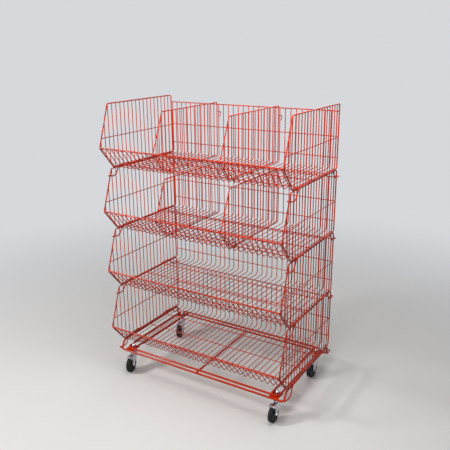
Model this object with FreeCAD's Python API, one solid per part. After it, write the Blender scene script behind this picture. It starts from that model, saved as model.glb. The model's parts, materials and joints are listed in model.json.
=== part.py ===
"""Stacking wire dump bin: four nesting-edge baskets on a castered dolly, with lift-out wire dividers.

Millimetres, +Z up, +X to the right of someone who faces the bin, +Y towards its back.
Each basket is drawn with its front rail at y = 0 and the middle of its floor wires at z = 0.
The last step moves everything so that the origin is on the floor, below the middle of the bin.

Round bar and wire are drawn with flat sides, so that hundreds of wires stay light: four sides for thin
wire, six or eight for frames.  A width is always measured across the flats, so that bars seat face to face.
"""

import FreeCAD, Part
import math
import os

V = FreeCAD.Vector
X_AXIS = V(1, 0, 0)
Y_AXIS = V(0, 1, 0)
Z_AXIS = V(0, 0, 1)

# ---------------------------------------------------------------- driving dimensions
# stack
basket_count = 4
divided_baskets = (3, 4)
tier_pitch = 300.0
seat_gap = 0.3

# wire and bar widths
wire = 4.0
side_bar = 6.0
rail_bar = 7.0
back_bar = 5.0
foot_bar = 6.0
divider_bar = 5.0
dolly_bar = 10.0

# basket
side_plane = 464.0
front_rail_height = 99.0
front_rail_setback = 2.0
floor_front = 83.0
back_plane = 553.0
top_front = 67.5
back_rail_height = 260.0
back_wire_heights = (52.0, 148.0)
side_wire_height = 143.0
floor_cross_wires = (127.0, 269.5, 412.0)
long_wire_pitch = 28.4
side_wire_pitch = 28.5
side_corner_bend = 11.0

# stacking feet
foot_front_start = 205.0
foot_front_bend = 130.0
foot_front_knee = 104.0
foot_sole = 84.0
foot_drop = 46.0
foot_toe_rise = 8.0
foot_rear_start = 425.0
foot_rear_bend = 490.0
foot_rear_knee = 527.0
foot_rear_toe = 570.0
toe_reach = 12.0

# dividers
divider_top = 272.0
divider_top_front = 83.0
divider_back = 530.0
divider_wire_count = 6
divider_play = 0.45
divider_front_gap = 1.0
hook_height = 226.0
hook_reach = 20.5
hook_radius = 11.5
prong_rows = (127.0, 269.5)
prong_drop = 7.0

# dolly
outer_front = 56.0
outer_back = 546.0
outer_slope_top = 80.0
inner_front = 66.0
inner_back = 555.0
inner_side = 431.0
inner_bar_gap = 38.0
inner_bend = 16.0
inner_height = -35.0
plate_thickness = 3.0
plate_tail = 20.0

# casters
caster_x = 413.0
caster_front = 91.0
caster_back = 520.0
caster_trail = 38.0
caster_turns = {"front_left": 14.0, "front_right": 2.0, "rear_left": 15.0, "rear_right": -3.0}
axle_below_plate = 75.5
tyre_radius = 42.5
tyre_width = 20.0
tyre_shoulder = 3.0
hub_radius = 31.0
hub_dish = 4.0
boss_radius = 9.0
axle_radius = 4.0
running_gap = 0.08
side_gap = 0.3
fork_sheet = 2.5
fork_gap = 3.5
fork_lug = 10.0
fork_crown_back = 17.0
hood_step = 14.0
stem_radius = 5.0
stem_collar = 10.0
collar_height = 5.0
race_radius = 17.0
race_height = 7.0
race_neck = 9.0
rivet_radius = 9.0
rivet_height = 4.0
nut_width = 17.0
nut_height = 9.0
stem_above_nut = 12.0
axle_head_width = 13.0
axle_head = 5.0
wheel_sides = 16
turned_sides = 8
tolerance = 1e-6

# ---------------------------------------------------------------- heights that follow
long_wires_each_side = int((side_plane - side_bar / 2 - wire / 2 - seat_gap) / long_wire_pitch)
side_top = tier_pitch - side_bar - seat_gap
outer_side = side_plane + side_bar / 2 + seat_gap + foot_bar / 2
dolly_side = outer_side - foot_bar / 2 - seat_gap - dolly_bar / 2
dolly_top = -side_bar / 2 - seat_gap - dolly_bar / 2
plate_top = inner_height - dolly_bar / 2
plate_bottom = plate_top - plate_thickness
outer_height = plate_bottom - dolly_bar / 2 / math.cos(math.pi / 8)
axle_height = plate_bottom - axle_below_plate
ground = axle_height - tyre_radius
front_edge = front_rail_setback - rail_bar / 2
back_edge = foot_rear_toe + foot_bar / 2
shift = V(0, -(front_edge + back_edge) / 2, -ground)


# ---------------------------------------------------------------- bar, wire and turned work
def polygon(centre, normal, level, across, sides):
    """Closed wire: a regular polygon across its flats, one flat facing the direction `level`."""
    other = normal.cross(level)
    corner = across / 2 / math.cos(math.pi / sides)
    points = []
    for k in range(sides):
        angle = (k + 0.5) * 2 * math.pi / sides
        points.append(centre + (level * math.cos(angle) + other * math.sin(angle)) * corner)
    return Part.makePolygon(points + points[:1])


def bar(points, across, sides, level=X_AXIS):
    """Solid bar through the points, mitred where it bends, one flat square to `level` at its start."""
    along = (points[1] - points[0]).normalize()
    section = polygon(points[0], along, level, across, sides)
    return Part.makePolygon(points).makePipeShell([section], True, False, 1)


def hoop(points, across, sides, level=X_AXIS):
    """Closed bar through the points, joined in the middle of its last straight."""
    join = (points[-1] + points[0]) * 0.5
    return bar([join] + points + [join], across, sides, level).removeSplitter()


def straight(x, y, z, towards, length, across, sides):
    """Straight bar from a point along X, Y or Z."""
    level = Y_AXIS if towards == X_AXIS else X_AXIS
    start = V(x, y, z)
    return bar([start, start + towards * length], across, sides, level)


def eased(points, radius, closed=True):
    """The points with each corner cut by one chord, as a bend of about this radius."""
    result = []
    count = len(points)
    for i, corner in enumerate(points):
        if not closed and i in (0, count - 1):
            result.append(corner)
            continue
        before = (points[i - 1] - corner).normalize()
        after = (points[(i + 1) % count] - corner).normalize()
        cut = radius / math.tan(before.getAngle(after) / 2)
        result += [corner + before * cut, corner + after * cut]
    return result


def turned(outline, sides):
    """Solid turned about Z from a closed (radius, z) outline, with radii to the flats."""

    def ring(radius, z):
        return polygon(V(0, 0, z), Z_AXIS, X_AXIS, 2 * radius, sides)

    faces = []
    for (r1, z1), (r2, z2) in zip(outline, outline[1:] + outline[:1]):
        if z1 == z2:
            rims = [ring(r, z1) for r in sorted((r1, r2), reverse=True) if r > 0]
            faces.append(Part.Face(rims))
        elif r1 > 0:
            low = [v.Point for v in ring(r1, z1).OrderedVertexes]
            high = [v.Point for v in ring(r2, z2).OrderedVertexes]
            for k in range(sides):
                n = (k + 1) % sides
                faces.append(Part.Face(Part.makePolygon([low[k], low[n], high[n], high[k], low[k]])))
    solid = Part.Solid(Part.makeShell(faces))
    solid.fix(tolerance, tolerance, tolerance)
    return solid


def prism(across, bottom, top, sides):
    """Upright prism on the Z axis, measured across its flats."""
    base = Part.Face(polygon(V(0, 0, bottom), Z_AXIS, X_AXIS, across, sides))
    return base.extrude(V(0, 0, top - bottom))


def meeting(p, along_p, q, along_q):
    """Where two lines in the plane (y, z) cross, each given by a point and a direction."""
    across = along_p[0] * along_q[1] - along_p[1] * along_q[0]
    gap = (q[0] - p[0], q[1] - p[1])
    step = (gap[0] * along_q[1] - gap[1] * along_q[0]) / across
    return (p[0] + along_p[0] * step, p[1] + along_p[1] * step)


def mirrored(shape):
    return shape.mirror(V(0, 0, 0), X_AXIS)


# ---------------------------------------------------------------- basket
FRONT_FOOT = (front_rail_setback, front_rail_height)
FLOOR_FOOT = (floor_front, 0.0)
LEAN = (top_front, side_top - front_rail_height)
LIP = (FLOOR_FOOT[0] - FRONT_FOOT[0], FLOOR_FOOT[1] - FRONT_FOOT[1])


def lean_at(z):
    """How far back the leaning front edge of a side panel is at height z."""
    return top_front + (z - side_top) * LEAN[0] / LEAN[1]


def side_outline():
    """Corners (y, z) of a side panel: front rail, top front, top back, floor back, floor front."""
    return [
        (lean_at(front_rail_height), front_rail_height),
        (top_front, side_top),
        (back_plane, side_top),
        (back_plane, 0.0),
        FLOOR_FOOT,
    ]


def grille(x, outline, frame_width, frame_sides, first, pitch):
    """Upright panel in the plane x: a bent frame round the outline, and upright wires inside it."""
    frame = hoop(eased([V(x, y, z) for y, z in outline], side_corner_bend), frame_width, frame_sides)
    front, top, back, floor_back, floor = outline
    half = frame_width / 2
    uprights = []
    y = first
    while y > front[0] + frame_width + wire:
        low = floor[1]
        if y < floor[0]:
            low = front[1] + (y - front[0]) * (floor[1] - front[1]) / (floor[0] - front[0])
        high = top[1]
        if y < top[0]:
            high = front[1] + (y - front[0]) * (top[1] - front[1]) / (top[0] - front[0])
        uprights.append(straight(x, y, low + half, Z_AXIS, high - low - frame_width, wire, 4))
        y -= pitch
    return frame, uprights


def basket_side(x):
    """Side panel, with its level wire on the inner face of the uprights."""
    frame, uprights = grille(x, side_outline(), side_bar, 8, back_plane - side_wire_pitch, side_wire_pitch)
    inside = x - math.copysign(wire, x)
    start = lean_at(side_wire_height) + side_bar / 2
    end = back_plane - wire - wire / 2
    level = straight(inside, start, side_wire_height, Y_AXIS, end - start, wire, 4)
    return [frame] + uprights + [level]


def basket_long_wires():
    """The bent wires that make lip, floor and back in one piece, hung under both rails."""
    slope = V(0, LIP[0], LIP[1]).normalize()
    wires = []
    for k in range(-long_wires_each_side, long_wires_each_side + 1):
        x = k * long_wire_pitch
        wires.append(
            bar(
                [
                    V(x, *FRONT_FOOT) + slope * (rail_bar / 2),
                    V(x, *FLOOR_FOOT),
                    V(x, back_plane, 0),
                    V(x, back_plane, back_rail_height - back_bar / 2),
                ],
                wire,
                4,
            )
        )
    return wires


def basket_cross_wires():
    """Level wires on the inner face of floor and back, from side panel to side panel."""
    reach = side_plane - side_bar / 2
    floor = [straight(-reach, y, wire, X_AXIS, 2 * reach, wire, 4) for y in floor_cross_wires]
    back = [straight(-reach, back_plane - wire, z, X_AXIS, 2 * reach, wire, 4) for z in back_wire_heights]
    return floor + back


def basket_rail(y, z, width):
    """Level rail between the side panels."""
    reach = side_plane - side_bar / 2
    return straight(-reach, y, z, X_AXIS, 2 * reach, width, 8)


def basket_feet():
    """Four bent hooks beside the side panels, which drop round the panels of the basket below."""
    x = outer_side
    toe_height = foot_toe_rise - foot_drop
    lean_reach = math.hypot(*LEAN) / LEAN[1]
    edge_face = lean_at(tier_pitch + toe_height - foot_bar / 2) - side_bar / 2 * lean_reach
    toe = edge_face - seat_gap - foot_bar / 2
    toe_end = x - toe_reach
    front = bar(
        [
            V(x, foot_front_start, 0),
            V(x, foot_front_bend, 0),
            V(x, foot_front_knee, 2 * foot_toe_rise / 3 - foot_drop),
            V(x, foot_sole, -foot_drop),
            V(x, toe, toe_height),
            V(toe_end, toe, toe_height),
        ],
        foot_bar,
        4,
    )
    rear = bar(
        [
            V(x, foot_rear_start, 0),
            V(x, foot_rear_bend, 0),
            V(x, foot_rear_knee, toe_height),
            V(x, foot_rear_toe, toe_height),
            V(toe_end, foot_rear_toe, toe_height),
        ],
        foot_bar,
        4,
    )
    return [front, rear, mirrored(front), mirrored(rear)]


def basket_parts(number):
    """Nodes of one basket at its own tier."""
    name = "basket_%d_" % number
    return {
        name + "long_wires": basket_long_wires(),
        name + "cross_wires": basket_cross_wires(),
        name + "front_rail": [basket_rail(front_rail_setback, front_rail_height, rail_bar)],
        name + "back_rail": [basket_rail(back_plane, back_rail_height, back_bar)],
        name + "left_side": basket_side(-side_plane),
        name + "right_side": basket_side(side_plane),
        name + "feet": basket_feet(),
    }


# ---------------------------------------------------------------- divider
def divider_outline():
    """Corners (y, z): the divider stands on the cross wires, behind the front rail and short of the back."""
    slack = divider_bar / 2 / math.cos(math.pi / 6) + seat_gap
    floor = wire + wire / 2 + slack
    lip_length = math.hypot(*LIP)
    offset = wire / 2 + slack
    lip_point = (FRONT_FOOT[0] - LIP[1] / lip_length * offset, FRONT_FOOT[1] + LIP[0] / lip_length * offset)
    front_point = (front_rail_setback + rail_bar / 2 + slack + divider_front_gap, front_rail_height)
    lean = (divider_top_front - front_point[0], divider_top - front_point[1])
    return [
        meeting(lip_point, LIP, front_point, lean),
        (divider_top_front, divider_top),
        (divider_back, divider_top),
        (divider_back, floor),
        meeting(lip_point, LIP, (0.0, floor), (1.0, 0.0)),
    ]


def divider_hook(x):
    """Hook of wire that reaches back beside the long wire, and turns down and forward behind the basket."""
    start = divider_back + divider_bar / 2
    bend = start + hook_reach
    corner = hook_radius / math.cos(math.pi / 8)
    points = [V(x, start, hook_height), V(x, bend, hook_height)]
    for angle in (67.5, 22.5, -22.5, -67.5):
        turn = math.radians(angle)
        y = bend + corner * math.cos(turn)
        points.append(V(x, y, hook_height - hook_radius + corner * math.sin(turn)))
    return bar(points, wire, 4)


def divider_prongs(x, top):
    """Pairs of short legs that stand astride the cross wires of the floor."""
    prongs = []
    for row in prong_rows:
        for side in (-1, 1):
            y = row + side * (wire + seat_gap)
            prongs.append(straight(x, y, -prong_drop, Z_AXIS, prong_drop + top, wire, 4))
    return prongs


def divider(wire_number):
    """Divider just to the right of one long wire: grille, hook and prongs."""
    x = wire_number * long_wire_pitch + wire + divider_play
    outline = divider_outline()
    under = outline[3][1] - divider_bar / 2
    frame, uprights = grille(x, outline, divider_bar, 6, divider_back - side_wire_pitch, side_wire_pitch)
    return [frame] + uprights + [divider_hook(x)] + divider_prongs(x, under)


# ---------------------------------------------------------------- dolly
def dolly_outer_ring():
    """One bent bar: high along both sides, where the basket sits, and dropped across front and back."""
    corners = [
        V(dolly_side, outer_back, dolly_top),
        V(dolly_side, outer_back, outer_height),
        V(-dolly_side, outer_back, outer_height),
        V(-dolly_side, outer_back, dolly_top),
        V(-dolly_side, outer_slope_top, dolly_top),
        V(-dolly_side, outer_front, outer_height),
        V(dolly_side, outer_front, outer_height),
        V(dolly_side, outer_slope_top, dolly_top),
    ]
    return hoop(corners, dolly_bar, 8, Z_AXIS)


def dolly_inner_ring():
    """Level bar bent to a rectangle, lying on the caster plates."""
    corners = [
        V(-inner_side, inner_front, inner_height),
        V(-inner_side, inner_back, inner_height),
        V(inner_side, inner_back, inner_height),
        V(inner_side, inner_front, inner_height),
    ]
    return hoop(eased(corners, inner_bend), dolly_bar, 8, Z_AXIS)


def dolly_inner_bars():
    """A second bar along each side, across the caster plates."""
    x = inner_side - inner_bar_gap
    start = inner_front + dolly_bar / 2
    length = inner_back - dolly_bar / 2 - start
    left = straight(-x, start, inner_height, Y_AXIS, length, dolly_bar, 8)
    return [left, mirrored(left)]


def dolly_centre_bar():
    """Bar from front to back below the inner ring, between the dropped rails."""
    start = outer_front + dolly_bar / 2
    length = outer_back - dolly_bar / 2 - start
    return straight(0, start, plate_top - dolly_bar / 2, Y_AXIS, length, dolly_bar, 8)


def caster_places():
    """Name, position of the swivel axis and angle of each caster."""
    places = []
    for row, y in (("front", caster_front), ("rear", caster_back)):
        for side, x in (("left", -caster_x), ("right", caster_x)):
            name = row + "_" + side
            places.append((name, V(x, y, 0), caster_turns[name]))
    return places


def caster_plate(place):
    """Flat plate on the dropped rail and below the inner bars, with a hole for the stem."""
    left = inner_side - inner_bar_gap - dolly_bar / 2
    right = inner_side + dolly_bar / 2
    if place.y < (outer_front + outer_back) / 2:
        front = outer_front
        back = place.y + plate_tail
    else:
        front = place.y - plate_tail
        back = outer_back
    plate = Part.makeBox(right - left, back - front, plate_thickness, V(left, front, plate_bottom))
    if place.x < 0:
        plate = mirrored(plate)
    hole = prism(2 * stem_hole(), plate_bottom, plate_top, turned_sides)
    return plate.cut(hole.translate(V(place.x, place.y, 0)))


# ---------------------------------------------------------------- casters, drawn on the swivel axis
fork_top = axle_height + tyre_radius + fork_gap + fork_sheet
fork_bottom = fork_top - fork_sheet
leg_inner = tyre_width / 2 + side_gap + hub_dish / 2
leg_outer = leg_inner + fork_sheet


def corner_radius(radius, sides):
    """Radius over the corners of a flat-sided shaft."""
    return radius / math.cos(math.pi / sides)


def stem_hole():
    return corner_radius(stem_radius, turned_sides) + running_gap


def caster_stem():
    """Stem with its round shank, collar and race, and the rivet head that holds the fork."""
    race_bottom = fork_top + side_gap
    race_top = race_bottom + race_height
    collar_bottom = plate_bottom - collar_height
    tip = plate_top + nut_height + stem_above_nut
    rivet_top = fork_bottom - side_gap
    pivot = turned(
        [
            (0, rivet_top - rivet_height),
            (rivet_radius, rivet_top - rivet_height),
            (rivet_radius, rivet_top),
            (stem_radius, rivet_top),
            (stem_radius, race_bottom),
            (race_radius, race_bottom),
            (race_neck, race_top),
            (0, race_top),
        ],
        turned_sides,
    )
    thread = turned(
        [
            (0, collar_bottom),
            (stem_collar, collar_bottom),
            (stem_collar, plate_bottom),
            (stem_radius, plate_bottom),
            (stem_radius, tip),
            (0, tip),
        ],
        turned_sides,
    )
    shank = Part.makeCylinder(stem_radius, collar_bottom - race_top, V(0, 0, race_top))
    return pivot.fuse([shank, thread]).removeSplitter()


def stem_nut():
    """Hexagon nut on the caster plate."""
    hole = prism(2 * stem_radius, plate_top, plate_top + nut_height, turned_sides)
    return prism(nut_width, plate_top, plate_top + nut_height, 6).cut(hole)


def round_axle(x, radius, angle):
    """Point at a radius and angle round the axle's line, in the plane x; 0 degrees is back, 90 is up."""
    turn = math.radians(angle)
    return V(x, radius * math.cos(turn) - caster_trail, radius * math.sin(turn) + axle_height)


def fork_leg(x):
    """Side sheet of the fork, from the crown down to a lug that is rounded on the axle's line."""

    def lug(angle):
        return round_axle(x, fork_lug, angle)

    nose = Part.Arc(lug(-90), lug(-110), lug(-130)).toShape()
    outline = [lug(-130), lug(-180), V(x, -caster_trail - fork_lug, fork_bottom - fork_sheet)]
    outline += [V(x, -caster_trail, fork_top), V(x, fork_crown_back, fork_top)]
    outline += [V(x, fork_crown_back, fork_bottom - fork_sheet), lug(-30), lug(-90)]
    edge = Part.Wire([nose] + Part.makePolygon(outline).Edges)
    sheet = Part.Face(edge).extrude(V(fork_sheet, 0, 0))
    hole = axle_solid(x, x + fork_sheet, 2 * corner_radius(axle_radius, turned_sides))
    return sheet.cut(hole)


def axle_solid(start, end, across, sides=turned_sides):
    """Prism along X on the axle's line."""
    solid = prism(across, start, end, sides)
    solid.rotate(V(0, 0, 0), Y_AXIS, 90)
    return solid.translate(V(0, -caster_trail, axle_height))


def caster_fork():
    """Fork pressed from sheet: a crown that runs on as a hood over the wheel, and two legs."""
    outer = fork_top - axle_height
    inner = fork_bottom - axle_height
    hood = [90 + hood_step, 90 + 2 * hood_step]
    section = [V(-leg_inner, fork_crown_back, fork_bottom), V(-leg_inner, fork_crown_back, fork_top)]
    section += [round_axle(-leg_inner, outer, angle) for angle in [90] + hood]
    section += [round_axle(-leg_inner, inner, angle) for angle in hood[::-1] + [90]]
    crown = Part.Face(Part.makePolygon(section + section[:1])).extrude(V(2 * leg_inner, 0, 0))
    crown = crown.cut(prism(2 * stem_hole(), fork_bottom, fork_top, turned_sides))
    return crown.fuse([fork_leg(leg_inner), fork_leg(-leg_outer)]).removeSplitter()


def caster_axle():
    """Axle bolt with a hexagon head, and its closed nut."""
    shank = axle_solid(-leg_outer, leg_outer, 2 * axle_radius)
    head = axle_solid(leg_outer, leg_outer + axle_head, axle_head_width, 6)
    nut = axle_solid(-leg_outer - axle_head, -leg_outer, axle_head_width, 6)
    return [shank.fuse(head).removeSplitter(), nut]


def on_axle(shape):
    """A part turned about Z, laid on the axle."""
    shape.rotate(V(0, 0, 0), Y_AXIS, 90)
    return shape.translate(V(0, -caster_trail, axle_height))


def caster_tyre():
    """Tyre with chamfered shoulders."""
    half = tyre_width / 2
    return on_axle(
        turned(
            [
                (hub_radius, -half),
                (tyre_radius - tyre_shoulder, -half),
                (tyre_radius, tyre_shoulder - half),
                (tyre_radius, half - tyre_shoulder),
                (tyre_radius - tyre_shoulder, half),
                (hub_radius, half),
            ],
            wheel_sides,
        )
    )


def caster_hub():
    """Hub with a dished web, and a boss that runs between the fork legs."""
    boss = leg_inner - side_gap
    web = tyre_width / 2 - hub_dish
    bore = corner_radius(axle_radius, turned_sides) + running_gap
    return on_axle(
        turned(
            [
                (bore, -boss),
                (boss_radius, -boss),
                (boss_radius, -web),
                (hub_radius, -web),
                (hub_radius, web),
                (boss_radius, web),
                (boss_radius, boss),
                (bore, boss),
            ],
            wheel_sides,
        )
    )


def caster_parts(name, place, turn):
    """Nodes of one caster, turned to where it trails and set on its stem's line."""
    parts = {
        "fork_" + name: [caster_fork()],
        "axle_" + name: caster_axle(),
        "hub_" + name: [caster_hub()],
        "tyre_" + name: [caster_tyre()],
    }
    for solids in parts.values():
        for solid in solids:
            solid.rotate(V(0, 0, 0), Z_AXIS, turn)
            solid.translate(place)
    return parts


# ---------------------------------------------------------------- assembly
def assembly():
    """Every node of the bin, as lists of solids."""
    nodes = {
        "dolly_outer_ring": [dolly_outer_ring()],
        "dolly_inner_ring": [dolly_inner_ring()],
        "dolly_inner_bars": dolly_inner_bars(),
        "dolly_centre_bar": [dolly_centre_bar()],
        "caster_plates": [],
        "caster_stems": [],
        "stem_nuts": [],
    }
    for name, place, turn in caster_places():
        nodes["caster_plates"].append(caster_plate(place))
        nodes["caster_stems"].append(caster_stem().translate(place))
        nodes["stem_nuts"].append(stem_nut().translate(place))
        nodes.update(caster_parts(name, place, turn))
    for number in range(1, basket_count + 1):
        tier = basket_parts(number)
        if number in divided_baskets:
            tier["divider_%d_left" % number] = divider(-divider_wire_count)
            tier["divider_%d_right" % number] = divider(divider_wire_count)
        for node, solids in tier.items():
            nodes[node] = [s.translate(V(0, 0, (number - 1) * tier_pitch)) for s in solids]
    return nodes


os.makedirs("parts", exist_ok=True)
for node, solids in assembly().items():
    for solid in solids:
        solid.translate(shift)
    Part.makeCompound(solids).exportStep("parts/" + node + ".step")
print("origin is at y = %.2f, z = %.2f of the basket frame" % (-shift.y, -shift.z))
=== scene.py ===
# %% [markdown]
# # A stacking wire dump bin
#
# The bin is four welded wire baskets that hook onto each other, on a wire dolly with four swivel casters.
# The two upper baskets hold wire dividers that lift out.  The CAD model draws every wire with flat sides.
# Here each of those nodes is replaced by round, smoothly bent wire, and every part gets its real finish.
# Lengths are typed in millimetres, as on a workshop drawing, and turned to metres when a mesh is made.  Only
# lamps and floor are placed in metres.  Blender's start-up cube, lamp and camera are cleared away first.

# %% Load the frame
import json
import math

import bpy
import numpy as np
from mathutils import Matrix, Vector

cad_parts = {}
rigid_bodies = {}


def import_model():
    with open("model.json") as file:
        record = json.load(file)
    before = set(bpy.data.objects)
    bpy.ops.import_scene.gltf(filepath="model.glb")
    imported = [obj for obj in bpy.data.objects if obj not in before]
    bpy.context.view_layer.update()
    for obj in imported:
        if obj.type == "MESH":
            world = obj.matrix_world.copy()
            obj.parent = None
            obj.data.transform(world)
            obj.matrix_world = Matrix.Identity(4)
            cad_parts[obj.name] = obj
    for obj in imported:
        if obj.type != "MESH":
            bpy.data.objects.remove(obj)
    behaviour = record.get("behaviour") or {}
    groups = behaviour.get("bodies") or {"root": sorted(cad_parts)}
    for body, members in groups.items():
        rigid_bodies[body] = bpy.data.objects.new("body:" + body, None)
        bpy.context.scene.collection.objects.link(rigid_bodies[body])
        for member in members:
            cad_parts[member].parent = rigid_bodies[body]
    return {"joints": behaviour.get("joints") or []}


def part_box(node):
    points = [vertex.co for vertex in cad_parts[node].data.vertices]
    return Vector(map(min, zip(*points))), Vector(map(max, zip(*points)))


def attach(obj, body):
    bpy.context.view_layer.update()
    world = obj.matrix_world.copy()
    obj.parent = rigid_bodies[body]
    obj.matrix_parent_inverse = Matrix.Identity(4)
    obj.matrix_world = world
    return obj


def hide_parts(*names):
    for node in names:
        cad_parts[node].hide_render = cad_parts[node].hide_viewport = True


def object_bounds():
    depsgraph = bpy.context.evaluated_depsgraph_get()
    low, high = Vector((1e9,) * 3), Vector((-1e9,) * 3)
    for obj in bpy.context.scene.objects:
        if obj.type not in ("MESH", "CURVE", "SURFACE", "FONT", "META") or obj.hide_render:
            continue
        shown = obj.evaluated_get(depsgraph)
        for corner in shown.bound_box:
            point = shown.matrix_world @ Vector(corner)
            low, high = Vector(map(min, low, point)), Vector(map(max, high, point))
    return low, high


for leftover in list(bpy.data.objects):
    bpy.data.objects.remove(leftover)
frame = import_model()
cad_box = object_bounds()
MM = 0.001
print("CAD box, mm:", [[round(v / MM, 1) for v in corner] for corner in cad_box])

# %% [markdown]
# ## One drawing, two origins
#
# A basket is easiest to draw with its front rail at y = 0 and the middle of its floor wires at z = 0.
# The finished model stands on the floor, centred.  The shift between the two is read from the frame: the
# lowest basket's long wires start half a wire below z = 0, and the front of the box is the front face of the
# rail, 1.5 mm before y = 0.

# %% Where the basket drawing sits
WIRE = 4.0
FRONT_EDGE = -1.5
shift = np.array([0.0, cad_box[0].y / MM - FRONT_EDGE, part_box("basket_1_long_wires")[0].z / MM + WIRE / 2])
TIER = (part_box("basket_2_long_wires")[0].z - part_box("basket_1_long_wires")[0].z) / MM
print("shift, mm:", shift.round(2), "tier pitch, mm:", round(TIER, 2))

# %% [markdown]
# ## A bent wire
#
# A wire bender holds a straight wire and folds it round a pin, so every corner is an arc that is tangent to
# both straights.  For a corner that turns by an angle t, with bend radius R, the arc starts R tan(t/2) before
# the corner, and its centre lies R / cos(t/2) from the corner on the bisector.  Between the two radii u0 and
# u1, a point of the arc is centre + R (sin((1-s)t) u0 + sin(st) u1) / sin(t), for s from 0 to 1.


# %% Lines with rounded corners
def unit(v):
    """The vectors divided by their own lengths."""
    return v / np.linalg.norm(v, axis=-1, keepdims=True)


def bent(corners, radius, steps=4, closed=False):
    """Points along a line through the corners, each corner an arc: centre + R slerp(u0, u1)."""
    corners = np.array(corners, float)
    before, inner, after = corners[:-2], corners[1:-1], corners[2:]
    if closed:
        before, inner, after = np.roll(corners, 1, 0), corners, np.roll(corners, -1, 0)
    a, b = unit(before - inner), unit(after - inner)
    turn = np.pi - np.arccos(np.clip((a * b).sum(1), -1, 1))
    radius = np.broadcast_to(np.array(radius, float), turn.shape)[:, None]
    turn = turn[:, None]
    centre = inner + unit(a + b) * radius / np.cos(turn / 2)
    reach = radius * np.tan(turn / 2)
    u0, u1 = (inner + a * reach - centre) / radius, (inner + b * reach - centre) / radius
    s = np.linspace(0, 1, steps + 1)[None, :, None]
    arcs = np.sin((1 - s) * turn[:, None]) * u0[:, None] + np.sin(s * turn[:, None]) * u1[:, None]
    line = (centre[:, None] + radius[:, None] * arcs / np.sin(turn[:, None])).reshape(-1, 3)
    return line if closed else np.vstack([corners[:1], line, corners[-1:]])


# %% [markdown]
# ## The skin of a wire
#
# A skin is a circle carried along a line.  At station j the circle is c_j + r (cos v side_j + sin v up_j).
# Here side_j is the side of the station before it, made square to the new direction, so that the skin does
# not twist.  All wires of one kind go through the same few array steps, so 33 wires take no more code than
# one.


# %% Skins: round bars as arrays of points and faces
def sweep(lines, radius, sides=8, closed=False):
    """Tubes round one line, or an array (wires, stations, 3) of them: c + r (cos v side + sin v up)."""
    lines = np.array(lines, float)
    if lines.ndim == 2:
        lines = lines[None]
    step = unit(np.roll(lines, -1, 1) - lines)
    if closed:
        along = unit(step + np.roll(step, 1, 1))
    else:
        inner = unit(step[:, :-2] + step[:, 1:-1])
        along = np.concatenate([step[:, :1], inner, step[:, -2:-1]], 1)
    start = np.eye(3)[np.abs(along[:, 0]).argmin(1)]
    side = np.empty_like(lines)
    side[:, 0] = unit(np.cross(along[:, 0], start))
    for j in range(1, lines.shape[1]):
        carried = side[:, j - 1]
        side[:, j] = unit(carried - along[:, j] * (carried * along[:, j]).sum(1, keepdims=True))
    up = np.cross(along, side)
    v = (np.arange(sides) + 0.5) * 2 * np.pi / sides
    rings = side[:, :, None] * np.cos(v)[:, None] + up[:, :, None] * np.sin(v)[:, None]
    return grid_skin(lines[:, :, None] + radius * rings, closed)


def grid_skin(points, closed=False):
    """Faces of grids (copies, rows, columns, 3): columns close up, and rows close too or get end caps."""
    copies, rows, columns, _ = points.shape
    index = np.arange(copies * rows * columns).reshape(copies, rows, columns)
    low, high = (index, np.roll(index, -1, 1)) if closed else (index[:, :-1], index[:, 1:])
    quads = np.stack([low, np.roll(low, -1, 2), np.roll(high, -1, 2), high], -1).reshape(-1, 4)
    caps = np.empty((0, columns), int) if closed else np.concatenate([index[:, 0, ::-1], index[:, -1]])
    return points.reshape(-1, 3), [quads, caps]


def straight(starts, ends, radius, sides=8):
    """Straight bars between matching points."""
    starts, ends = np.broadcast_arrays(np.array(starts, float), np.array(ends, float))
    return sweep(np.stack([starts, ends], -2).reshape(-1, 2, 3), radius, sides)


def turned(profile, steps=48):
    """Surface turned about Z from (radius, z) pairs: (r cos v, r sin v, z)."""
    profile = np.array(profile, float)
    v = np.arange(steps) * 2 * np.pi / steps
    ring = np.stack([np.cos(v), np.sin(v), np.zeros(steps)], -1)
    points = profile[:, None, :1] * ring + profile[:, None, 1:] * np.array([0, 0, 1.0])
    return grid_skin(points[None])


def moved(skin, matrix, offset):
    """The skin with its points turned by a 3 x 3 matrix, then shifted."""
    points, faces = skin
    return points @ matrix.T + np.array(offset), faces


def mirrored(skin):
    """The skin on the other side of x = 0, with its faces reversed so that they still look outwards."""
    points, faces = skin
    return points * np.array([-1, 1, 1]), [f[:, ::-1] for f in faces]


# %% [markdown]
# ## From skins to a piece
#
# A piece gathers the skins that belong to one CAD node.  Its points go into the mesh in one call, in metres,
# and it takes over the node's place, its body and its finish.  A crease sharper than 40 degrees stays crisp.

# %% Pieces
CREASE = math.radians(40)
finishes = {}
made = {}


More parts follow.
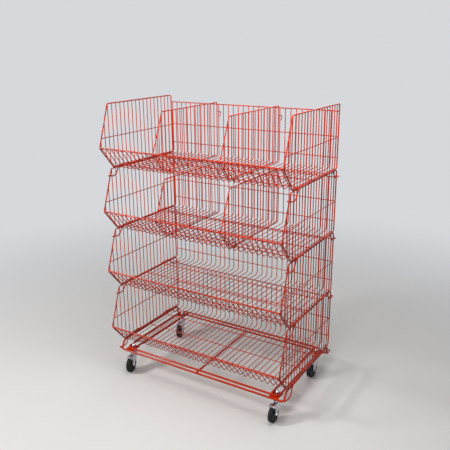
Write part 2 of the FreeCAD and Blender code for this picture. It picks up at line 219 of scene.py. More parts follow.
def piece(name, skins, coat, body, cad_node, place=shift):
    """One mesh object from many skins, which rides on a body and stands for a CAD node."""
    counts = np.cumsum([0] + [len(points) for points, _ in skins])
    points = (np.concatenate([points for points, _ in skins]) + place) * MM
    faces = [f + start for (_, groups), start in zip(skins, counts) for f in groups if len(f)]
    sizes = np.concatenate([np.full(len(f), f.shape[1]) for f in faces])
    mesh = bpy.data.meshes.new(name)
    mesh.vertices.add(len(points))
    mesh.vertices.foreach_set("co", points.astype(np.float32).ravel())
    mesh.loops.add(int(sizes.sum()))
    mesh.loops.foreach_set("vertex_index", np.concatenate([f.ravel() for f in faces]).astype(np.int32))
    mesh.polygons.add(len(sizes))
    mesh.polygons.foreach_set("loop_start", (np.cumsum(sizes) - sizes).astype(np.int32))
    mesh.polygons.foreach_set("use_smooth", np.ones(len(sizes), bool))
    mesh.update(calc_edges=True)
    mesh.validate()
    mesh.set_sharp_from_angle(angle=CREASE)
    made[name] = bpy.data.objects.new(name, mesh)
    bpy.context.scene.collection.objects.link(made[name])
    mesh.materials.append(finishes[coat])
    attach(made[name], body)
    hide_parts(cad_node)


# %% [markdown]
# ## Finishes
#
# Colours are typed as the hex values a paint chart gives, and one function turns them to the linear values
# that a shader works in.  A pattern, such as clouds or grain, is typed by the width in mm at which it is
# drawn.  These widths are chosen by their look, not measured.  One small function adds a node, fills its
# sockets and links it.


# %% Colour and nodes
def linear(hex_colour):
    """sRGB hex to linear RGBA: c / 12.92 below 0.04045, ((c + 0.055) / 1.055) ^ 2.4 above."""
    c = np.array([int(hex_colour[i : i + 2], 16) / 255 for i in (1, 3, 5)])
    c = np.where(c <= 0.04045, c / 12.92, ((c + 0.055) / 1.055) ** 2.4)
    return (*c.tolist(), 1.0)


def per_metre(size):
    """The scale of a noise whose lumps are this many millimetres wide: how many of them lie in a metre."""
    return 1 / (size * MM)


def node(tree, kind, sockets=None, **settings):
    """Adds a shader node; a socket takes a value, or a link when it is given another node's output."""
    new = tree.nodes.new("ShaderNode" + kind)
    for name, value in settings.items():
        setattr(new, name, value)
    for key, value in (sockets or {}).items():
        if isinstance(value, bpy.types.NodeSocket):
            tree.links.new(value, new.inputs[key])
        else:
            new.inputs[key].default_value = value
    return new


def finish(name):
    """An empty node material, with its output and the Object coordinates that its patterns read."""
    material = bpy.data.materials.new(name)
    material.use_nodes = True
    tree = material.node_tree
    tree.nodes.clear()
    finishes[name] = material
    return tree, node(tree, "OutputMaterial"), node(tree, "TexCoord").outputs["Object"]


# %% [markdown]
# ### Red powder coat
#
# The wire is sprayed with dry polyester powder and baked.  The powder melts into a thick, glossy skin with a
# faint orange peel about 2 mm across.  Its thickness, and with it colour and gloss, changes a little about
# every 110 mm, as the spray gun passes.  It is a dielectric, so it keeps white highlights over a saturated
# red.

# %% Powder coat
RED = "red_powder_coat"
tree, out, where = finish(RED)
passes = {"Scale": per_metre(110), "Detail": 3.0, "Roughness": 0.6}
thickness = node(tree, "TexNoise", {"Vector": where, **passes})
tint = node(tree, "ValToRGB", {"Fac": thickness.outputs["Fac"]})
tint.color_ramp.elements[0].color = linear("#B82806")
tint.color_ramp.elements[0].position = 0.35
tint.color_ramp.elements[1].color = linear("#D43608")
tint.color_ramp.elements[1].position = 0.65
peel = node(tree, "TexNoise", {"Vector": where, "Scale": per_metre(2), "Detail": 1.0})
gloss = node(tree, "MapRange", {"Value": thickness.outputs["Fac"], "To Min": 0.12, "To Max": 0.22})
skin = node(tree, "Bump", {"Height": peel.outputs["Fac"], "Strength": 0.25, "Distance": 0.0002})
coat = node(
    tree,
    "BsdfPrincipled",
    {
        "Base Color": tint.outputs["Color"],
        "Roughness": gloss.outputs["Result"],
        "Normal": skin.outputs["Normal"],
        "IOR": 1.5,
        "Specular IOR Level": 0.2,
    },
)
tree.links.new(coat.outputs["BSDF"], out.inputs["Surface"])

# %% [markdown]
# ### Bright zinc
#
# Caster steel is pressed and then electroplated.  The zinc is a clean blue-white metal with soft, slightly
# cloudy reflections, because the plate follows the rolled sheet below it.  Clouds are drawn about 8 mm
# wide.  The rolling grain is drawn at 0.7 mm, which is coarser than on real sheet.

# %% Zinc plate
tree, out, where = finish("zinc_plate")
cloud = node(tree, "TexNoise", {"Vector": where, "Scale": per_metre(8), "Detail": 4.0})
tint = node(tree, "ValToRGB", {"Fac": cloud.outputs["Fac"]})
tint.color_ramp.elements[0].color = linear("#B4B9BF")
tint.color_ramp.elements[1].color = linear("#DADDE0")
gloss = node(tree, "MapRange", {"Value": cloud.outputs["Fac"], "To Min": 0.16, "To Max": 0.34})
grain = node(tree, "TexNoise", {"Vector": where, "Scale": per_metre(0.7), "Detail": 2.0})
skin = node(tree, "Bump", {"Height": grain.outputs["Fac"], "Strength": 0.12, "Distance": 0.0001})
plate = node(
    tree,
    "BsdfPrincipled",
    {
        "Base Color": tint.outputs["Color"],
        "Metallic": 1.0,
        "Roughness": gloss.outputs["Result"],
        "Normal": skin.outputs["Normal"],
    },
)
tree.links.new(plate.outputs["BSDF"], out.inputs["Surface"])

# %% [markdown]
# ### Black rubber and black polypropylene
#
# The tyre is moulded rubber, matt and very dark, with a film of grey floor dust in patches of about 16 mm.
# The hub inside it is moulded polypropylene, a touch lighter and smoother.  The grain of the two moulds is
# drawn at 1.1 mm and 0.7 mm, which is coarser than on real ones.


# %% Rubber and plastic
def moulded(name, dark, light, rough, grit, depth):
    """A dull moulded surface: two close colours mixed by noise, with a fine moulded grain."""
    tree, out, where = finish(name)
    film = node(tree, "TexNoise", {"Vector": where, "Scale": per_metre(16), "Detail": 5.0, "Roughness": 0.65})
    tint = node(tree, "ValToRGB", {"Fac": film.outputs["Fac"]})
    tint.color_ramp.elements[0].color = linear(dark)
    tint.color_ramp.elements[0].position = 0.4
    tint.color_ramp.elements[1].color = linear(light)
    tint.color_ramp.elements[1].position = 0.75
    dull = node(tree, "MapRange", {"Value": film.outputs["Fac"], "To Min": rough, "To Max": rough + 0.2})
    grain = node(tree, "TexNoise", {"Vector": where, "Scale": per_metre(grit), "Detail": 2.0})
    skin = node(tree, "Bump", {"Height": grain.outputs["Fac"], "Strength": 0.3, "Distance": depth})
    body = node(
        tree,
        "BsdfPrincipled",
        {
            "Base Color": tint.outputs["Color"],
            "Roughness": dull.outputs["Result"],
            "Normal": skin.outputs["Normal"],
            "IOR": 1.5,
            "Specular IOR Level": 0.3,
        },
    )
    tree.links.new(body.outputs["BSDF"], out.inputs["Surface"])


moulded("black_rubber", "#0B0B0B", "#24221F", 0.62, 1.1, 0.0003)
moulded("black_polypropylene", "#131415", "#222324", 0.42, 0.7, 0.0001)
print("finishes:", sorted(finishes))

# %% [markdown]
# ## Measures of a basket
#
# Seen from the side, a basket is a box whose front is cut back: a low lip slopes up and forward to the front
# rail, and above it the side panel leans back, so that goods stay in view and in reach.  SEAT is the gap
# between pieces that only rest on each other, and WELD_SINK is how deep welded wires lie in each other.

# %% Basket measures, mm
SIDE_BAR, RAIL_BAR, BACK_BAR, FOOT_BAR = 6.0, 7.0, 5.0, 6.0
SIDE_X = 464.0
RAIL_Y, RAIL_Z = 2.0, 99.0
FLOOR_Y, BACK_Y, TOP_Y = 83.0, 553.0, 67.5
SEAT = 0.3
TOP_Z = TIER - SIDE_BAR - SEAT
BACK_RAIL_Z = 260.0
WELD_SINK = 0.5
SIDE_BEND, LIP_BEND, BACK_BEND = 12.0, 9.0, 14.0
LONG_PITCH, SIDE_PITCH = 28.4, 28.5
CROSS_Y = (127.0, 269.5, 412.0)
BACK_CROSS_Z = (52.0, 148.0)
SIDE_WIRE_Z = 143.0
REACH = SIDE_X - SIDE_BAR / 2
print("basket, mm: half width", SIDE_X + SIDE_BAR / 2, "top of the side panel", round(TOP_Z, 1))


def lean_y(z):
    """How far back the leaning front edge is at height z: a straight line from front rail to top corner."""
    return TOP_Y + (z - TOP_Z) * TOP_Y / (TOP_Z - RAIL_Z)


# %% [markdown]
# ### The long wires
#
# Thirty-three wires each make lip, floor and back in one piece.  They hang under the front rail and stand
# below the back rail.  They are all alike, so one bent line is drawn and shifted sideways.


# %% Long and cross wires
def long_wires():
    """One line (front rail, floor, back), repeated every LONG_PITCH in x."""
    corners = [[0, RAIL_Y, RAIL_Z], [0, FLOOR_Y, 0], [0, BACK_Y, 0], [0, BACK_Y, BACK_RAIL_Z]]
    line = bent(corners, [LIP_BEND, BACK_BEND])
    count = int((REACH - WIRE / 2 - SEAT) / LONG_PITCH)
    xs = np.arange(-count, count + 1)[:, None, None] * LONG_PITCH
    return sweep(line[None] + xs * np.array([1.0, 0, 0]), WIRE / 2)


def cross_wires():
    """Level wires on top of the floor and in front of the back, sunk a little into the wires they cross."""
    inside = WIRE - WELD_SINK
    floor = [[0, y, inside] for y in CROSS_Y]
    back = [[0, BACK_Y - inside, z] for z in BACK_CROSS_Z]
    middle = np.array(floor + back)
    return straight(middle - [REACH, 0, 0], middle + [REACH, 0, 0], WIRE / 2, 10)


def rail(y, z, width):
    """A level bar from side panel to side panel."""
    return straight([-REACH, y, z], [REACH, y, z], width / 2, 16)


# %% [markdown]
# ### The side panels
#
# A panel is a hoop of 6 mm bar with upright wires welded inside it.  Each upright runs from the lower edge
# of the outline to its upper edge.  Both edges are lines through the outline's corners, so the heights at
# every y are interpolated, and all the uprights come from one call.


# %% Panels: a hoop with uprights
def panel(x, outline, bar, pitch, bend, sides):
    """Hoop through (y, z) corners with upright wires every `pitch` from the back."""
    front, top, back, low_back, floor = outline = np.array(outline, float)
    hoop = np.insert(outline, 0, x, axis=1)
    ys = np.arange(back[0] - pitch, front[0] + bar + WIRE, -pitch)
    lows = np.interp(ys, [front[0], floor[0], low_back[0]], [front[1], floor[1], low_back[1]])
    highs = np.interp(ys, [front[0], top[0], back[0]], [front[1], top[1], back[1]])
    xs = np.full_like(ys, x)
    uprights = straight(np.stack([xs, ys, lows], -1), np.stack([xs, ys, highs], -1), WIRE / 2)
    return [sweep(bent(hoop, bend, 6, closed=True), bar / 2, sides, closed=True), uprights]


def side_panel():
    """Right side panel with the level wire on its inner face."""
    outline = [[lean_y(RAIL_Z), RAIL_Z], [TOP_Y, TOP_Z], [BACK_Y, TOP_Z], [BACK_Y, 0], [FLOOR_Y, 0]]
    inside = SIDE_X - WIRE + WELD_SINK
    level = straight([inside, lean_y(SIDE_WIRE_Z), SIDE_WIRE_Z], [inside, BACK_Y, SIDE_WIRE_Z], WIRE / 2)
    return panel(SIDE_X, outline, SIDE_BAR, SIDE_PITCH, SIDE_BEND, 14) + [level]


# %% [markdown]
# ### The hooks that stack the baskets
#
# Beside each side panel two bent bars run along the bottom and then dive past the top of the basket below.
# Their toes turn inwards, one in front of the leaning edge and one behind the back, so a basket lifts
# straight off but does not slide.

# %% Feet
FOOT_X = SIDE_X + SIDE_BAR / 2 + SEAT + FOOT_BAR / 2
TOE_Z, SOLE_Z, TOE_REACH, SOLE_ROUND = -38.0, -46.0, 12.0, 5.0
FRONT_FOOT_Y, FRONT_FOOT_BENDS = (205.0, 130.0, 104.0, 84.0), (14.0, 12.0, 12.0, 5.0)
REAR_FOOT_Y, REAR_FOOT_BENDS = (425.0, 490.0, 527.0, 570.0), (14.0, 14.0, 5.0)


def feet():
    """Front and rear hook, on the right and mirrored to the left."""
    lean = math.hypot(TOP_Y, TOP_Z - RAIL_Z) / (TOP_Z - RAIL_Z)
    toe_y = lean_y(TIER + TOE_Z - FOOT_BAR / 2) - SIDE_BAR / 2 * lean - SEAT - FOOT_BAR / 2
    start, bend, knee, sole = FRONT_FOOT_Y
    front = [[start, 0], [bend, 0], [knee, SOLE_Z + SOLE_ROUND], [sole, SOLE_Z], [toe_y, TOE_Z]]
    front = [[FOOT_X, y, z] for y, z in front] + [[FOOT_X - TOE_REACH, toe_y, TOE_Z]]
    start, bend, knee, toe = REAR_FOOT_Y
    rear = [[FOOT_X, start, 0], [FOOT_X, bend, 0], [FOOT_X, knee, TOE_Z], [FOOT_X, toe, TOE_Z]]
    rear.append([FOOT_X - TOE_REACH, toe, TOE_Z])
    lines = bent(front, FRONT_FOOT_BENDS, 5), bent(rear, REAR_FOOT_BENDS, 5)
    right = [sweep(line, FOOT_BAR / 2, 12) for line in lines]
    return right + [mirrored(s) for s in right]


# %% [markdown]
# ### Four times the same basket
#
# The seven parts of a basket are drawn once.  Each tier takes them one tier pitch higher than the one below.


# %% Four baskets
def lifted(tier):
    """The place of a tier: the drawing's shift and (tier - 1) tier pitches upwards."""
    return shift + [0, 0, (tier - 1) * TIER]


right_side = side_panel()
basket = {
    "long_wires": [long_wires()],
    "cross_wires": [cross_wires()],
    "front_rail": [rail(RAIL_Y, RAIL_Z, RAIL_BAR)],
    "back_rail": [rail(BACK_Y, BACK_RAIL_Z, BACK_BAR)],
    "right_side": right_side,
    "left_side": [mirrored(s) for s in right_side],
    "feet": feet(),
}
for tier in range(1, 5):
    body = "basket_%d" % tier
    for part, skins in basket.items():
        name = body + "_" + part
        piece("round_" + name, skins, RED, body, name, lifted(tier))
print("basket pieces:", len(made), "faces:", sum(len(o.data.polygons) for o in made.values()))

# %% [markdown]
# ## Dividers
#
# A divider is the side panel drawn smaller: it stands on the cross wires, just to the right of the sixth
# long wire from the middle.  Two pairs of prongs stand astride the cross wires, so it cannot slide forwards
# or back, and a hook of wire reaches out through the back of the basket and turns down behind it.

# %% Divider measures and shape
DIVIDER_BAR, DIVIDER_BEND = 5.0, 8.0
DIVIDER_TOP, DIVIDER_FRONT, DIVIDER_BACK = 272.0, 83.0, 530.0
DIVIDER_WIRE, DIVIDER_PLAY, RAIL_PLAY = 6, 0.45, 1.0
HOOK_Z, HOOK_Y, HOOK_R = 226.0, 553.0, 11.5
HOOK_TURN = (90, -100)
PRONG_ROWS, PRONG_DROP = CROSS_Y[:2], 7.0


def crossing(p, along_p, q, along_q):
    """Where two lines of a plane cross: p + s along_p, with s from the cross products of the directions."""
    p, along_p, q, along_q = (np.array(v, float) for v in (p, along_p, q, along_q))
    cross = along_p[0] * along_q[1] - along_p[1] * along_q[0]
    gap = q - p
    return p + along_p * (gap[0] * along_q[1] - gap[1] * along_q[0]) / cross


def divider(x):
    """Hoop, uprights, hook and prongs in the plane x; the hook is an arc (cos v, sin v) from top to free end.

    The CAD model's hoop has six flat sides.  Slack is its half width from corner to corner, and the seat gap.
    """
    slack = DIVIDER_BAR / 2 / math.cos(math.pi / 6) + SEAT
    floor, lip = WIRE * 1.5 + slack, np.array([FLOOR_Y - RAIL_Y, -RAIL_Z])
    on_lip = np.array([RAIL_Y, RAIL_Z]) + unit(np.array([RAIL_Z, lip[0]])) * (WIRE / 2 + slack)
    behind_rail = np.array([RAIL_Y + RAIL_BAR / 2 + slack + RAIL_PLAY, RAIL_Z])
    outline = [
        crossing(on_lip, lip, behind_rail, [DIVIDER_FRONT, DIVIDER_TOP] - behind_rail),
        [DIVIDER_FRONT, DIVIDER_TOP],
        [DIVIDER_BACK, DIVIDER_TOP],
        [DIVIDER_BACK, floor],
        crossing(on_lip, lip, [0, floor], [1, 0]),
    ]
    v = np.radians(np.linspace(*HOOK_TURN, 14))
    arc_y, arc_z = HOOK_Y + HOOK_R * np.cos(v), HOOK_Z - HOOK_R + HOOK_R * np.sin(v)
    hook = np.vstack([[x, DIVIDER_BACK, HOOK_Z], np.stack([np.full_like(v, x), arc_y, arc_z], -1)])
    astride = WIRE + SEAT
    base = np.array([[x, y + side * astride, floor] for y in PRONG_ROWS for side in (-1, 1)])
    prongs = straight(base * [1, 1, 0] - [0, 0, PRONG_DROP], base, WIRE / 2, 10)
    skins = panel(x, outline, DIVIDER_BAR, SIDE_PITCH, DIVIDER_BEND, 12)
    return skins + [sweep(hook, WIRE / 2, 10), prongs]


for tier in (3, 4):
    for side, sign in (("left", -1), ("right", 1)):
        name = "divider_%d_%s" % (tier, side)
        skins = divider(sign * DIVIDER_WIRE * LONG_PITCH + WIRE + DIVIDER_PLAY)
        piece("round_" + name, skins, RED, name, name, lifted(tier))
print("pieces with the dividers:", len(made))

# %% [markdown]
# ## The dolly
#
# One 10 mm bar carries the lowest basket: it lies high along both sides and drops across front and back.
# A second, flat ring lies on four plates above the casters, and three bars run from front to back.

# %% Dolly measures and bars
BAR = 10.0
DOLLY_X = FOOT_X - FOOT_BAR / 2 - SEAT - BAR / 2
DOLLY_TOP = -SIDE_BAR / 2 - SEAT - BAR / 2
INNER_Z = -35.0
PLATE, PLATE_TOP = 3.0, INNER_Z - BAR / 2
PLATE_LOW = PLATE_TOP - PLATE
OUTER_Z = PLATE_LOW - BAR / 2
OUTER_FRONT, OUTER_BACK, SLOPE_TOP = 56.0, 546.0, 80.0
INNER_FRONT, INNER_BACK, INNER_X, INNER_GAP = 66.0, 555.0, 431.0, 38.0
OUTER_BEND, INNER_BEND = 14.0, 24.0
PLATE_REACH, PLATE_CORNER = 20.0, 5.0
CASTERS = {
    "front_left": (-413.0, 91.0),
    "front_right": (413.0, 91.0),
    "rear_left": (-413.0, 520.0),
    "rear_right": (413.0, 520.0),
}


def outer_ring():
    """Closed bar: side rods at the top, front and back rails dropped below the plates."""
    ring = [
        [OUTER_FRONT, OUTER_Z, -1],
        [OUTER_FRONT, OUTER_Z, 1],
        [SLOPE_TOP, DOLLY_TOP, 1],
        [OUTER_BACK, DOLLY_TOP, 1],
        [OUTER_BACK, OUTER_Z, 1],
        [OUTER_BACK, OUTER_Z, -1],
        [OUTER_BACK, DOLLY_TOP, -1],
        [SLOPE_TOP, DOLLY_TOP, -1],
    ]
    corners = [[side * DOLLY_X, y, z] for y, z, side in ring]
    return sweep(bent(corners, OUTER_BEND, 6, closed=True), BAR / 2, 16, closed=True)


def inner_ring():
    """Closed level bar on the plates."""
    ring = ((-1, INNER_FRONT), (1, INNER_FRONT), (1, INNER_BACK), (-1, INNER_BACK))
    corners = [[side * INNER_X, y, INNER_Z] for side, y in ring]
    return sweep(bent(corners, INNER_BEND, 8, closed=True), BAR / 2, 16, closed=True)


def caster_plate(x, y):
    """Flat plate with rounded corners: its outline, closed by arcs, drawn at both faces and joined."""
    left, right = INNER_X - INNER_GAP - BAR / 2, INNER_X + BAR / 2
    in_front = y < (INNER_FRONT + INNER_BACK) / 2
    front, back = (OUTER_FRONT, y + PLATE_REACH) if in_front else (y - PLATE_REACH, OUTER_BACK)
    corners = [[left, front, 0], [right, front, 0], [right, back, 0], [left, back, 0]]
    outline = bent(corners, PLATE_CORNER, closed=True)
    rows = np.stack([outline + [0, 0, z] for z in (PLATE_LOW, PLATE_TOP)])
    skin = grid_skin(rows[None])
    return skin if x > 0 else mirrored(skin)


# %% The dolly's pieces
low, inner_bar_x = PLATE_TOP - BAR / 2, INNER_X - INNER_GAP
inner_ends = [[[side * inner_bar_x, y, INNER_Z] for side in (-1, 1)] for y in (INNER_FRONT, INNER_BACK)]
dolly = {
    "outer_ring": outer_ring(),
    "inner_ring": inner_ring(),
    "inner_bars": straight(*inner_ends, BAR / 2, 16),
    "centre_bar": straight([0, OUTER_FRONT, low], [0, OUTER_BACK, low], BAR / 2, 16),
}
for part, skin in dolly.items():
    piece("round_" + part, [skin], RED, "dolly", "dolly_" + part)
plates = [caster_plate(x, y) for x, y in CASTERS.values()]
piece("rounded_caster_plates", plates, RED, "dolly", "caster_plates")
print("dolly bars:", len(dolly), "caster plates:", len(plates))

# %% [markdown]
# ## Casters
#
# Each caster is turned and pressed steel round one upright axis.  Everything is drawn on that axis, with the
# wheel trailing towards the front, and is later turned to the heading at which it came to rest.

# %% Caster measures
TYRE_R, TYRE_W, HUB_R = 42.5, 20.0, 31.0
TRAIL, AXLE_DROP = 38.0, 75.5
HOOD_GAP, LEG_GAP, SHEET = 3.5, 2.3, 2.5
AXLE_Z = PLATE_LOW - AXLE_DROP
FORK_TOP = AXLE_Z + TYRE_R + HOOD_GAP + SHEET
LEG_X = TYRE_W / 2 + LEG_GAP
STEM_R, COLLAR_R, RACE_R, STEM_END = 5.0, 10.0, 17.0, 21.0
HALF_PITCH, THREAD_DEPTH = 0.5, 0.5
STEM_NUT, STEM_NUT_H = 17.0, 9.0
AXLE_NUT, AXLE_NUT_H, AXLE_R = 13.0, 5.0, 4.0
NUT_FACE, CHAMFER_SLOPE = 0.97, 1.73
print("axle height over the floor, mm:", round(AXLE_Z + shift[2], 1), "tyre radius:", TYRE_R)


def hexagon(across, low, high):
    """Hexagon with turned ends: radius = min(a/2 / cos(angle to the nearest flat), cone of the chamfer).

    The cone starts at the round end face, NUT_FACE times as wide as the flats, and widens by its slope.
    """
    v = np.arange(48) * 2 * np.pi / 48
    flat = across / 2 / np.cos((v + np.pi / 6) % (np.pi / 3) - np.pi / 6)
    depth = np.array([0, 0.3, 0.6, 1.2])
    z = np.concatenate([low + depth, high - depth[::-1]])
    cone = across / 2 * NUT_FACE + np.concatenate([depth, depth[::-1]]) * CHAMFER_SLOPE
    r = np.minimum(flat[None], cone[:, None])
    points = np.stack([r * np.cos(v), r * np.sin(v), np.broadcast_to(z[:, None], r.shape)], -1)
    return grid_skin(points[None])


def stem():
    """Turned parts on the swivel axis: rivet head, race with its groove, shank, collar and threaded end.

    Each run of (radius, height) pairs is typed from its own level.  The thread's radius steps in and out.
    """
    head = [(0.01, -6.8), (4, -6.8), (8, -5.6), (9, -4.2), (9, -2.8), (STEM_R, -2.8), (STEM_R, SEAT)]
    race = [(14, 0), (RACE_R, 0), (RACE_R, 2), (15.4, 2.6), (15.4, 3.4), (16.2, 4), (15, 6), (9, 7)]
    race.append((STEM_R, 7))
    collar = [(STEM_R, -5), (COLLAR_R - 1, -5), (COLLAR_R, -4), (COLLAR_R, 0), (STEM_R, 0)]
    levels = ((head, FORK_TOP), (race, FORK_TOP + SEAT), (collar, PLATE_LOW))
    profile = [(r, level + z) for run, level in levels for r, z in run]
    nut_top, tip = PLATE_TOP + STEM_NUT_H, PLATE_TOP + STEM_END
    z = np.arange(nut_top + 0.3, tip - 0.6, HALF_PITCH)
    thread = [(STEM_R - THREAD_DEPTH * (i % 2), height) for i, height in enumerate(z)]
    return turned([*profile, (STEM_R, nut_top), *thread, (STEM_R - 1, tip), (0.01, tip)])


# %% [markdown]
# ### The fork
#
# The fork is one strip of sheet, pressed into an upside-down U.  Its crown is flat round the stem and then
# curves forward over the wheel as a hood.  The side view gives two edges: the ridge, along crown and hood,
# and the rim, along the hood's flange, down the front of the leg, round the axle and up the back of the leg.
# At each station the section runs straight from rim to ridge, bends over and crosses to the other side.


# %% Fork sheet
FORK_BEND, FLANGE, LUG_R = 4.0, 3.0, 10.0
HOOD_ANGLES, LUG_ANGLES = (118, 90), (180, 330)
CROWN_BACK = 17.0
LEG_FRONT, LEG_BACK = [-TRAIL - 10, AXLE_Z + 37], [CROWN_BACK, FORK_TOP - 6.5]


def along_edge(corners, shares):
    """Points along a line of straight pieces, at the given shares of its length."""
    corners = np.array(corners, float)
    length = np.concatenate([[0], np.cumsum(np.linalg.norm(np.diff(corners, axis=0), axis=1))])
    return np.stack([np.interp(shares * length[-1], length, c) for c in corners.T], -1)


def fork():
    """At each station: rim, ridge - bend n, the bend's arc (-cos p, sin p n), and their mirror image."""
    mid, axle = LEG_X + SHEET / 2, np.array([-TRAIL, AXLE_Z])
    hood = np.radians(np.linspace(*HOOD_ANGLES, 9))
    normal = np.stack([np.cos(hood), np.sin(hood)], -1)
    ridge = axle + (FORK_TOP - SHEET / 2 - AXLE_Z) * normal
    crown = along_edge([ridge[-1], [CROWN_BACK, ridge[-1, 1]]], np.linspace(0, 1, 24))[1:]
    flange = (ridge - (FORK_BEND + FLANGE) * normal)[:5]
    v = np.radians(np.linspace(*LUG_ANGLES, 16))
    lug = axle + LUG_R * np.stack([np.cos(v), np.sin(v)], -1)
    shares = np.linspace(0, 1, len(ridge) + len(crown) - len(flange))
    rim = np.vstack([flange, along_edge([LEG_FRONT, *lug, LEG_BACK], shares)])
    ridge = np.vstack([ridge, crown])
    normal = np.vstack([normal, np.tile([0.0, 1.0], (len(crown), 1))])
    p = np.radians(np.linspace(0, 90, 7))[:, None, None]
    over = ridge - FORK_BEND * normal * (1 - np.sin(p))
    half = np.concatenate([rim[None], over])
    half_x = np.concatenate([[[-mid]], -mid + FORK_BEND * (1 - np.cos(p[:, 0]))])
    out_x = np.concatenate([[[-1.0]], -np.cos(p[:, 0])])
    out = np.concatenate([[0 * normal], normal * np.sin(p)])
    shape = half.shape[:2]
    middle = np.concatenate([np.broadcast_to(half_x[..., None], (*shape, 1)), half], -1)
    face = np.concatenate([np.broadcast_to(out_x[..., None], (*shape, 1)), out], -1)
    flip = np.array([-1, 1, 1])
    middle = np.concatenate([middle, middle[::-1] * flip])
    face = np.concatenate([face, face[::-1] * flip]) * SHEET / 2
    return sheet_skin(middle + face, middle - face)


def sheet_skin(outer, inner):
    """Two grids of points joined round their rims to a closed sheet."""
    rows, columns, _ = outer.shape
    index = np.arange(rows * columns).reshape(rows, columns)
    quads = np.stack([index[:-1, :-1], index[1:, :-1], index[1:, 1:], index[:-1, 1:]], -1).reshape(-1, 4)
    loop = np.concatenate([index[0, :-1], index[:-1, -1], index[-1, :0:-1], index[:0:-1, 0]])
    rim = np.stack([loop, np.roll(loop, -1), np.roll(loop, -1) + index.size, loop + index.size], -1)
    points = np.concatenate([outer.reshape(-1, 3), inner.reshape(-1, 3)])
    return points, [quads, quads[:, ::-1] + index.size, rim]


# %% [markdown]
# ### Wheel
#
# The tyre's section is a band with round shoulders and a slightly crowned tread.  The hub's web is dished on
# both sides, between the rim that holds the tyre and the boss that runs between the fork legs.  Both rings
# are turned about Z, and TURN_OUT lays their axis along X, the axle's direction.

# %% Wheel
TURN_OUT = np.array([[0, 0, 1], [0, 1, 0], [-1, 0, 0]], float)
SHOULDER, CROWN = 4.0, 0.5


def tyre():
    """Closed ring: bead, round shoulder (a quarter circle), crowned tread."""
    half = TYRE_W / 2
    v = np.radians(np.linspace(0, 90, 6))
    arc_r = TYRE_R - CROWN - SHOULDER + SHOULDER * np.sin(v)
    arc = np.stack([arc_r, -half + SHOULDER - SHOULDER * np.cos(v)], -1)
    side = [[HUB_R, -half + 1.2], [HUB_R + 1, -half + 0.2], [HUB_R + 2.5, -half]]
    lower = np.vstack([side, arc, [[TYRE_R, -half / 3]]])
    return np.vstack([lower, lower[::-1] * [1, -1]])


def closed_turned(profile, steps=64):
    """Turned surface whose profile closes on itself, so it has no caps."""
    points, _ = turned(profile, steps)
    return grid_skin(points.reshape(1, len(profile), steps, 3), closed=True)


def hub():
    """Closed ring: bore, boss, dished web with a rim on each side."""
    boss, web, half = LEG_X - SEAT, TYRE_W / 2 - 4, TYRE_W / 2 - 1
    bore, rim = [[4.4, -boss], [8, -boss], [9, -boss + 1]], [[25, -half], [HUB_R, -half]]
    dish = [[9.5, -web - 1], [11, -web], [22, -web], [24, -web - 1.5]]
    lower = np.array(bore + dish + rim)
    return np.vstack([lower, lower[::-1] * [1, -1]])


# %% [markdown]
# ### Four casters
#
# The skins of a caster are made once.  Each caster turns them about its stem to the heading of its axle,
# which the frame's joint gives, and shifts them to its corner of the dolly.


# %% Casters at rest
def on_axle(skin):
    """A skin turned about Z, laid along X and brought to the axle."""
    return moved(skin, TURN_OUT, (0, -TRAIL, AXLE_Z))


leg_out = LEG_X + SHEET
axle = [
    hexagon(AXLE_NUT, leg_out, leg_out + AXLE_NUT_H),
    hexagon(AXLE_NUT, -leg_out - AXLE_NUT_H, -leg_out),
    turned([(AXLE_R, -leg_out), (AXLE_R, leg_out)], 24),
]
caster = {
    "fork": ([fork()], "zinc_plate", "caster_", "zinc"),
    "axle": ([on_axle(a) for a in axle], "zinc_plate", "caster_", "zinc"),
    "tyre": ([on_axle(closed_turned(tyre()))], "black_rubber", "wheel_", "tyre"),
    "hub": ([on_axle(closed_turned(hub()))], "black_polypropylene", "wheel_", "wheel_hub"),
}
nut = hexagon(STEM_NUT, PLATE_TOP, PLATE_TOP + STEM_NUT_H)
stems, nuts = [], []
for corner, (x, y) in CASTERS.items():
    spin = next(j for j in frame["joints"] if j["name"] == "spin_" + corner)
    c, s = spin["axis"][:2]
    turn = np.array([[c, -s, 0], [s, c, 0], [0, 0, 1]])
    stems.append(moved(stem(), turn, (x, y, 0)))
    nuts.append(moved(nut, np.eye(3), (x, y, 0)))
    for part, (skins, coat_name, body, slot) in caster.items():
        name = part + "_" + corner
        placed = [moved(k, turn, (x, y, 0)) for k in skins]
        piece("smooth_" + name, placed, coat_name, body + corner, name)
piece("smooth_caster_stems", stems, "zinc_plate", "dolly", "caster_stems")
piece("smooth_stem_nuts", nuts, "zinc_plate", "dolly", "stem_nuts")
print("pieces:", len(made), "faces:", sum(len(o.data.polygons) for o in made.values()))

# %% [markdown]
# ## Studio
#
# The bin stands on a plain pale floor.  Seen by the camera or in a mirror-like reflection, the floor fades
# with its distance from the bin into plain pale grey, as a long sweep of background paper does.  Light that
# only bounces meets a darker floor and a dim world, so that the bin is not flooded from below.

# %% Floor
PAPER, FLOOR_LIT, FLOOR_SEEN = "#D6D8DB", "#5A5856", "#ECEBE8"
FADE_START, FADE_END, FLOOR_HALF = 0.5, 3.2, 12.0


def looked_at(tree):
    """1 for a ray from the camera or from a mirror-like reflection, else 0: the larger of the two flags."""
    rays = node(tree, "LightPath")
    flags = {0: rays.outputs["Is Camera Ray"], 1: rays.outputs["Is Glossy Ray"]}
    return node(tree, "Math", flags, operation="MAXIMUM").outputs["Value"]


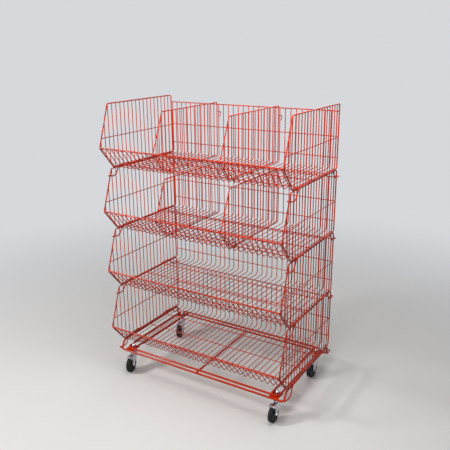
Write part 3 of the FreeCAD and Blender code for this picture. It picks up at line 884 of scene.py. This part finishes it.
tree, out, where = finish("pale_floor")
looked = looked_at(tree)
colour = node(tree, "MixRGB", {0: looked, 1: linear(FLOOR_LIT), 2: linear(FLOOR_SEEN)})
ground = node(tree, "BsdfPrincipled", {"Base Color": colour.outputs["Color"], "Roughness": 0.85})
distance = node(tree, "VectorMath", {0: where}, operation="LENGTH")
reach = {"Value": distance.outputs["Value"], "From Min": FADE_START, "From Max": FADE_END}
fade = node(tree, "MapRange", reach, interpolation_type="SMOOTHSTEP")
seen = node(tree, "Math", {0: fade.outputs["Result"], 1: looked}, operation="MULTIPLY")
paper = node(tree, "Emission", {"Color": linear(PAPER), "Strength": 1.0})
shaders = {1: ground.outputs["BSDF"], 2: paper.outputs["Emission"]}
both = node(tree, "MixShader", {0: seen.outputs["Value"], **shaders})
tree.links.new(both.outputs["Shader"], out.inputs["Surface"])
corners = [(x * FLOOR_HALF, y * FLOOR_HALF, 0) for x, y in ((-1, -1), (1, -1), (1, 1), (-1, 1))]
mesh = bpy.data.meshes.new("studio_floor")
mesh.from_pydata(corners, [], [[0, 1, 2, 3]])
mesh.materials.append(finishes["pale_floor"])
floor = bpy.data.objects.new("studio_floor", mesh)
bpy.context.scene.collection.objects.link(floor)
print("floor: plain up to", FADE_START, "m, faded to paper at", FADE_END, "m")

# %% [markdown]
# ### Lamps and world
#
# A square lamp from the upper left gives the long highlights on the leaning edges.  A larger one in front
# lights the bars that face it, one above the right side lights the top rails, and one behind lights the
# backs.

# %% Lamps and world
AMBIENT = 0.03


def lamp(name, place, target, size, power):
    """Square area lamp at a place, facing a target."""
    light = bpy.data.lights.new(name, "AREA")
    light.size, light.energy = size, power
    new = bpy.data.objects.new(name, light)
    bpy.context.scene.collection.objects.link(new)
    back = unit(np.array(place) - np.array(target))
    side = unit(np.cross([0, 0, 1], back))
    basis = np.stack([side, np.cross(back, side), back], 1)
    new.matrix_world = Matrix.Translation(place) @ Matrix(basis.tolist()).to_4x4()


lamp("key_lamp", (-2.5, -2.4, 2.55), (0, 0, 1.0), 0.55, 82)
lamp("front_lamp", (0.4, -3.4, 1.6), (0, 0, 0.8), 1.2, 42)
lamp("top_lamp", (0.65, -0.3, 2.2), (0.2, 0, 1.0), 0.8, 21)
lamp("back_lamp", (-0.8, 3.2, 2.3), (0, 0, 0.8), 1.8, 20)

world = bpy.data.worlds.new("studio_world")
bpy.context.scene.world = world
world.use_nodes = True
tree = world.node_tree
tree.nodes.clear()
dim = node(tree, "Background", {"Color": (1, 1, 1, 1), "Strength": AMBIENT})
bright = node(tree, "Background", {"Color": linear(PAPER), "Strength": 1.0})
mix = node(tree, "MixShader", {0: looked_at(tree), 1: dim.outputs[0], 2: bright.outputs[0]})
node(tree, "OutputWorld", {"Surface": mix.outputs[0]})

# %% [markdown]
# ## Camera
#
# The camera stands to the front right of the bin, a little above its top, and looks down on it.  Its place,
# heading, pitch and roll are typed as numbers, and its lens gives the width of view.

# %% Camera
EYE = np.array([1423.5, -2264.0, 1628.7])
YAW, PITCH, ROLL = (math.radians(v) for v in (31.680, 17.411, -0.474))
LENS, SENSOR = 47.329, 36.0
ahead, level = np.array([[-math.sin(YAW), math.cos(YAW), 0], [math.cos(YAW), math.sin(YAW), 0]])
forward = ahead * math.cos(PITCH) - [0, 0, math.sin(PITCH)]
upward = np.cross(level, forward)
right = level * math.cos(ROLL) + upward * math.sin(ROLL)
top = upward * math.cos(ROLL) - level * math.sin(ROLL)
camera = bpy.data.objects.new("camera", bpy.data.cameras.new("camera"))
bpy.context.scene.collection.objects.link(camera)
camera.data.lens, camera.data.sensor_width = LENS, SENSOR
camera.data.clip_end = 100
facing = Matrix(np.stack([right, top, -forward], 1).tolist())
camera.matrix_world = Matrix.Translation(EYE * MM) @ facing.to_4x4()
bpy.context.scene.camera = camera
bpy.context.scene.view_settings.view_transform = "Standard"
print("camera: distance, m:", round(float(np.linalg.norm(EYE)) * MM, 2), "lens, mm:", LENS)
